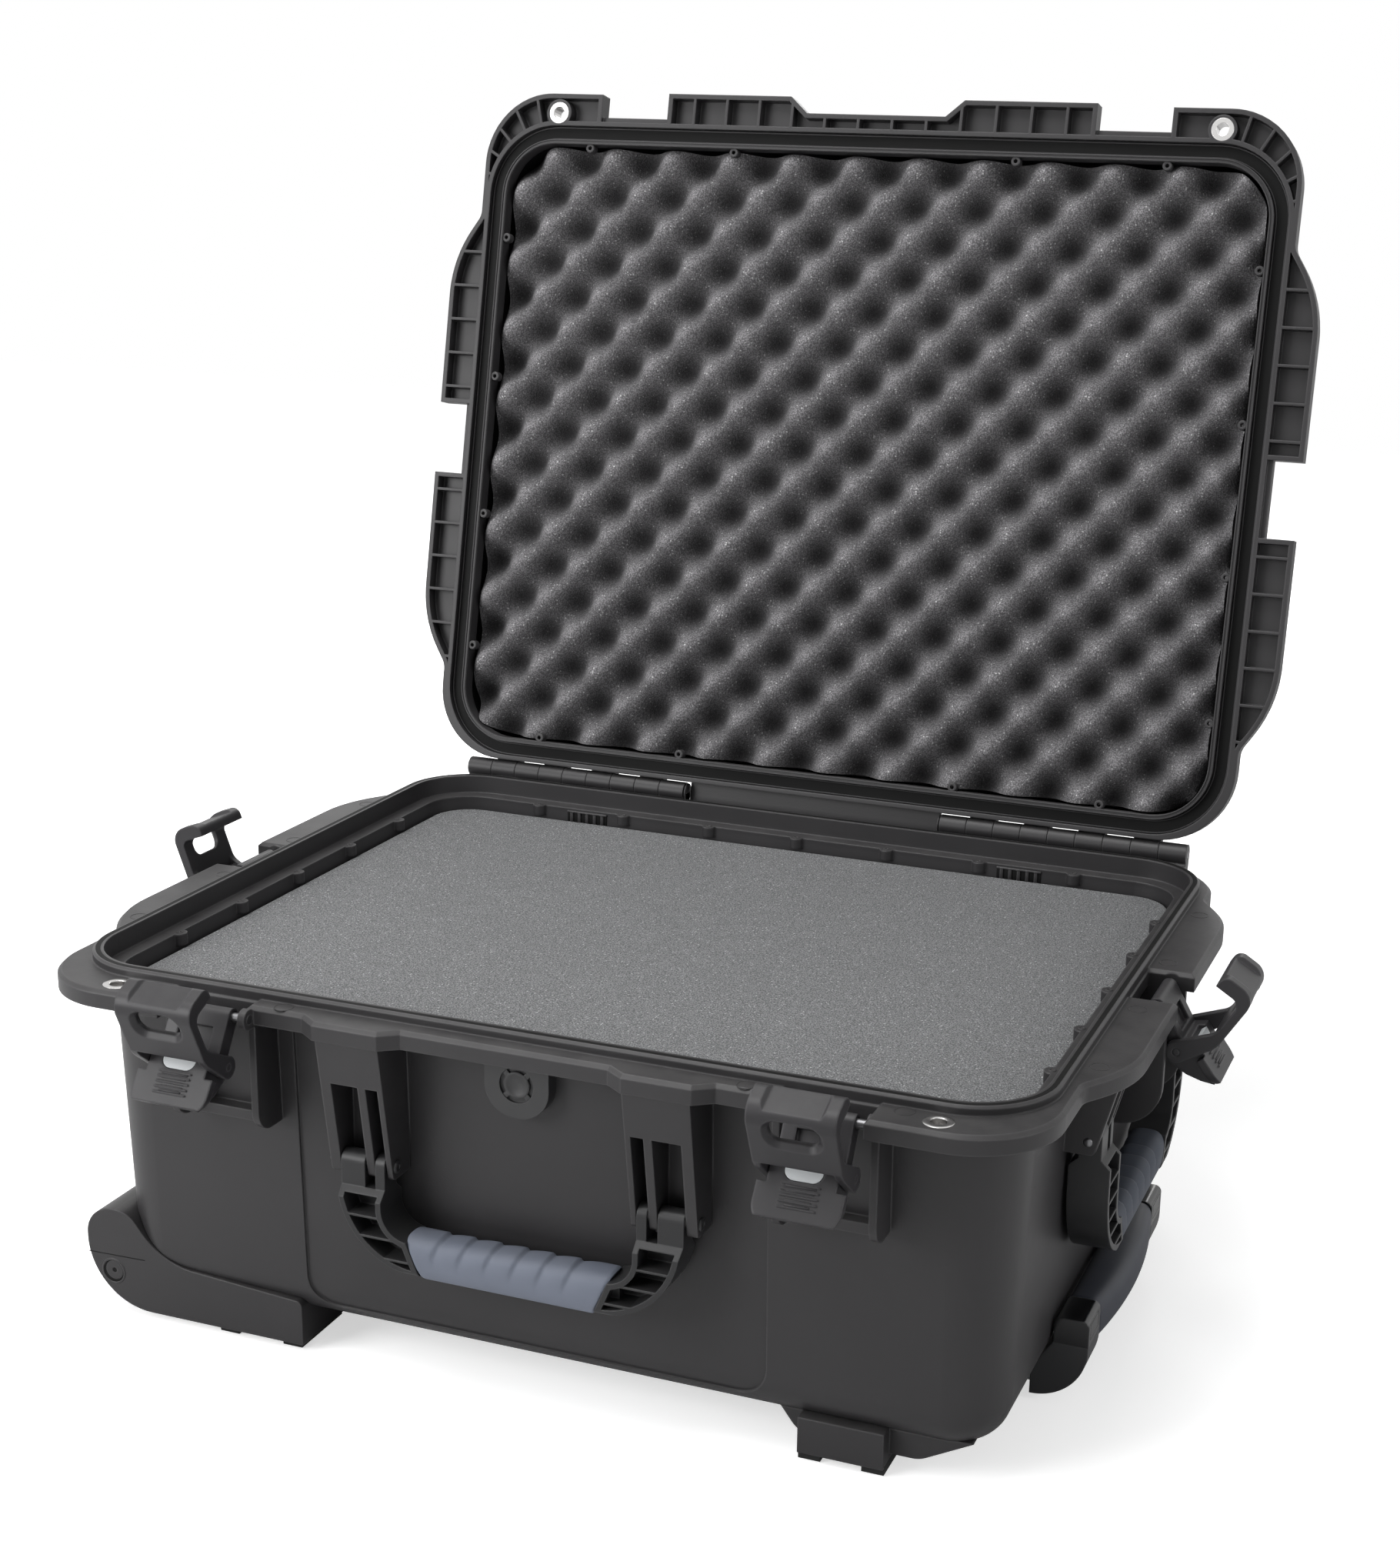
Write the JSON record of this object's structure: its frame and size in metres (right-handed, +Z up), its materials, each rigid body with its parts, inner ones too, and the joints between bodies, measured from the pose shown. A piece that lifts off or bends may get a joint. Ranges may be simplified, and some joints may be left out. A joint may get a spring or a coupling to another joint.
{
  "type": "wheeled hard case",
  "caption": "Rectangular wheeled hard case with a hinged foam-lined lid, over-centre latches, folding carry handles and a telescopic pull handle.",
  "frame": {"origin": "on the floor under the middle of the tub's rim", "axes": "+X along the length towards the pull handle, -X to the wheels, -Y to the front carry handle, +Y to the hinge, +Z up; the lid stands open"},
  "size_m": [0.6602, 0.6407, 0.6681],
  "materials": {
    "shell": "fine moulded grain",
    "latch": "satin moulded",
    "slide_lock": "satin moulded",
    "handle_frame": "fine moulded grain",
    "front_grip": "soft matt",
    "side_grip": "soft matt",
    "base_foam": "open-cell foam",
    "lid_foam": "open-cell foam",
    "seal": "soft matt",
    "steel": "bright",
    "valve": "satin moulded",
    "hub": "satin moulded",
    "tyre": "matt",
    "pad": "matt",
    "tube": "satin drawn",
    "pull_arm": "satin moulded",
    "pull_grip": "soft matt",
    "pull_cap": "gloss"
  },
  "bodies": {
    "base": {"base_shell": "shell", "base_foam_sheet": "base_foam", "base_foam_block": "base_foam", "base_foam_pad": "base_foam", "base_padlock_eyelets": "steel", "valve_cap": "valve", "valve_core": "valve", "hinge_pin_left": "steel", "hinge_pin_right": "steel", "latch_pivot_pins": "steel", "front_handle_pins": "steel", "side_handle_pins": "steel", "wheel_housing_front": "shell", "wheel_housing_rear": "shell", "wheel_axles": "steel", "foot_front": "shell", "foot_rear": "shell", "foot_pads": "pad", "pull_outer_tubes": "tube", "tube_clamps": "shell"},
    "lid": {"lid_shell": "shell", "lid_seal": "seal", "lid_foam": "lid_foam", "lid_padlock_eyelets": "steel"},
    "front_handle": {"front_handle_frame": "handle_frame", "front_handle_grip": "front_grip"},
    "side_handle": {"side_handle_frame": "handle_frame", "side_handle_grip": "side_grip"},
    "pull_handle": {"pull_inner_tubes": "tube", "pull_crossbar": "pull_arm", "pull_end_caps": "pull_cap", "pull_grip": "pull_grip"},
    "pull_button_front": {"pull_button_front": "pull_cap"},
    "pull_button_rear": {"pull_button_rear": "pull_cap"},
    "wheel_front": {"wheel_front_hub": "hub", "wheel_front_tyre": "tyre"},
    "wheel_rear": {"wheel_rear_hub": "hub", "wheel_rear_tyre": "tyre"},
    "latch_front_left_lever": {"latch_front_left_lever": "latch"},
    "latch_front_left_claw": {"latch_front_left_claw": "latch"},
    "latch_front_left_slide_lock": {"latch_front_left_slide_lock": "slide_lock"},
    "latch_front_right_lever": {"latch_front_right_lever": "latch"},
    "latch_front_right_claw": {"latch_front_right_claw": "latch"},
    "latch_front_right_slide_lock": {"latch_front_right_slide_lock": "slide_lock"},
    "latch_left_end_lever": {"latch_left_end_lever": "latch"},
    "latch_left_end_claw": {"latch_left_end_claw": "latch"},
    "latch_left_end_slide_lock": {"latch_left_end_slide_lock": "slide_lock"},
    "latch_right_end_lever": {"latch_right_end_lever": "latch"},
    "latch_right_end_claw": {"latch_right_end_claw": "latch"},
    "latch_right_end_slide_lock": {"latch_right_end_slide_lock": "slide_lock"}
  },
  "joints": [
    {"name": "lid_hinge", "type": "hinge", "parent": "base", "child": "lid", "pos_m": [0, 0.2245, 0.216], "axis": [1, 0, 0], "range_deg": [0, 102]},
    {"name": "latch_front_left_lever_hinge", "type": "hinge", "parent": "base", "child": "latch_front_left_lever", "pos_m": [-0.1695, -0.2265, 0.204], "axis": [1, 0, 0], "range_deg": [0, 36]},
    {"name": "latch_front_left_claw_hinge", "type": "hinge", "parent": "latch_front_left_lever", "child": "latch_front_left_claw", "pos_m": [-0.1695, -0.23945, 0.18157], "axis": [-1, 0, 0], "range_deg": [0, 60]},
    {"name": "latch_front_left_lock_slide", "type": "slide", "parent": "latch_front_left_lever", "child": "latch_front_left_slide_lock", "axis": [0, 0.6018, 0.7986], "range_m": [0, 0.004]},
    {"name": "latch_front_right_lever_hinge", "type": "hinge", "parent": "base", "child": "latch_front_right_lever", "pos_m": [0.1695, -0.2265, 0.204], "axis": [1, 0, 0], "range_deg": [0, 36]},
    {"name": "latch_front_right_claw_hinge", "type": "hinge", "parent": "latch_front_right_lever", "child": "latch_front_right_claw", "pos_m": [0.1695, -0.23945, 0.18157], "axis": [-1, 0, 0], "range_deg": [0, 60]},
    {"name": "latch_front_right_lock_slide", "type": "slide", "parent": "latch_front_right_lever", "child": "latch_front_right_slide_lock", "axis": [0, 0.6018, 0.7986], "range_m": [0, 0.004]},
    {"name": "latch_left_end_lever_hinge", "type": "hinge", "parent": "base", "child": "latch_left_end_lever", "pos_m": [-0.284, 0, 0.204], "axis": [0, -1, 0], "range_deg": [0, 36]},
    {"name": "latch_left_end_claw_hinge", "type": "hinge", "parent": "latch_left_end_lever", "child": "latch_left_end_claw", "pos_m": [-0.29695, 0, 0.18157], "axis": [0, 1, 0], "range_deg": [0, 56]},
    {"name": "latch_left_end_lock_slide", "type": "slide", "parent": "latch_left_end_lever", "child": "latch_left_end_slide_lock", "axis": [0.6018, 0, 0.7986], "range_m": [0, 0.004]},
    {"name": "latch_right_end_lever_hinge", "type": "hinge", "parent": "base", "child": "latch_right_end_lever", "pos_m": [0.284, 0, 0.204], "axis": [0, 1, 0], "range_deg": [0, 36]},
    {"name": "latch_right_end_claw_hinge", "type": "hinge", "parent": "latch_right_end_lever", "child": "latch_right_end_claw", "pos_m": [0.29695, 0, 0.18157], "axis": [0, -1, 0], "range_deg": [0, 68]},
    {"name": "latch_right_end_lock_slide", "type": "slide", "parent": "latch_right_end_lever", "child": "latch_right_end_slide_lock", "axis": [-0.6018, 0, 0.7986], "range_m": [0, 0.004]},
    {"name": "front_handle_hinge", "type": "hinge", "parent": "base", "child": "front_handle", "pos_m": [0, -0.2125, 0.13], "axis": [-1, 0, 0], "range_deg": [0, 90]},
    {"name": "side_handle_hinge", "type": "hinge", "parent": "base", "child": "side_handle", "pos_m": [0.27, 0, 0.158], "axis": [0, -1, 0], "range_deg": [0, 80]},
    {"name": "pull_handle_slide", "type": "slide", "parent": "base", "child": "pull_handle", "axis": [1, 0, 0], "range_m": [0, 0.38]},
    {"name": "pull_button_front_press", "type": "slide", "parent": "pull_handle", "child": "pull_button_front", "axis": [-1, 0, 0], "range_m": [0, 0.0025], "stiffness_N_per_m": 250},
    {"name": "pull_button_rear_press", "type": "slide", "parent": "pull_handle", "child": "pull_button_rear", "axis": [-1, 0, 0], "range_m": [0, 0.0025], "stiffness_N_per_m": 250},
    {"name": "wheel_front_spin", "type": "hinge", "parent": "base", "child": "wheel_front", "pos_m": [-0.258, -0.172, 0.025], "axis": [0, 1, 0], "continuous": true},
    {"name": "wheel_rear_spin", "type": "hinge", "parent": "base", "child": "wheel_rear", "pos_m": [-0.258, 0.172, 0.025], "axis": [0, 1, 0], "continuous": true}
  ],
  "couplings": [
    {"joint": "latch_front_left_claw_hinge", "follows": "latch_front_left_lever_hinge", "ratio": 1.6667},
    {"joint": "latch_front_right_claw_hinge", "follows": "latch_front_right_lever_hinge", "ratio": 1.6667},
    {"joint": "latch_left_end_claw_hinge", "follows": "latch_left_end_lever_hinge", "ratio": 1.5556},
    {"joint": "latch_right_end_claw_hinge", "follows": "latch_right_end_lever_hinge", "ratio": 1.8889}
  ]
}
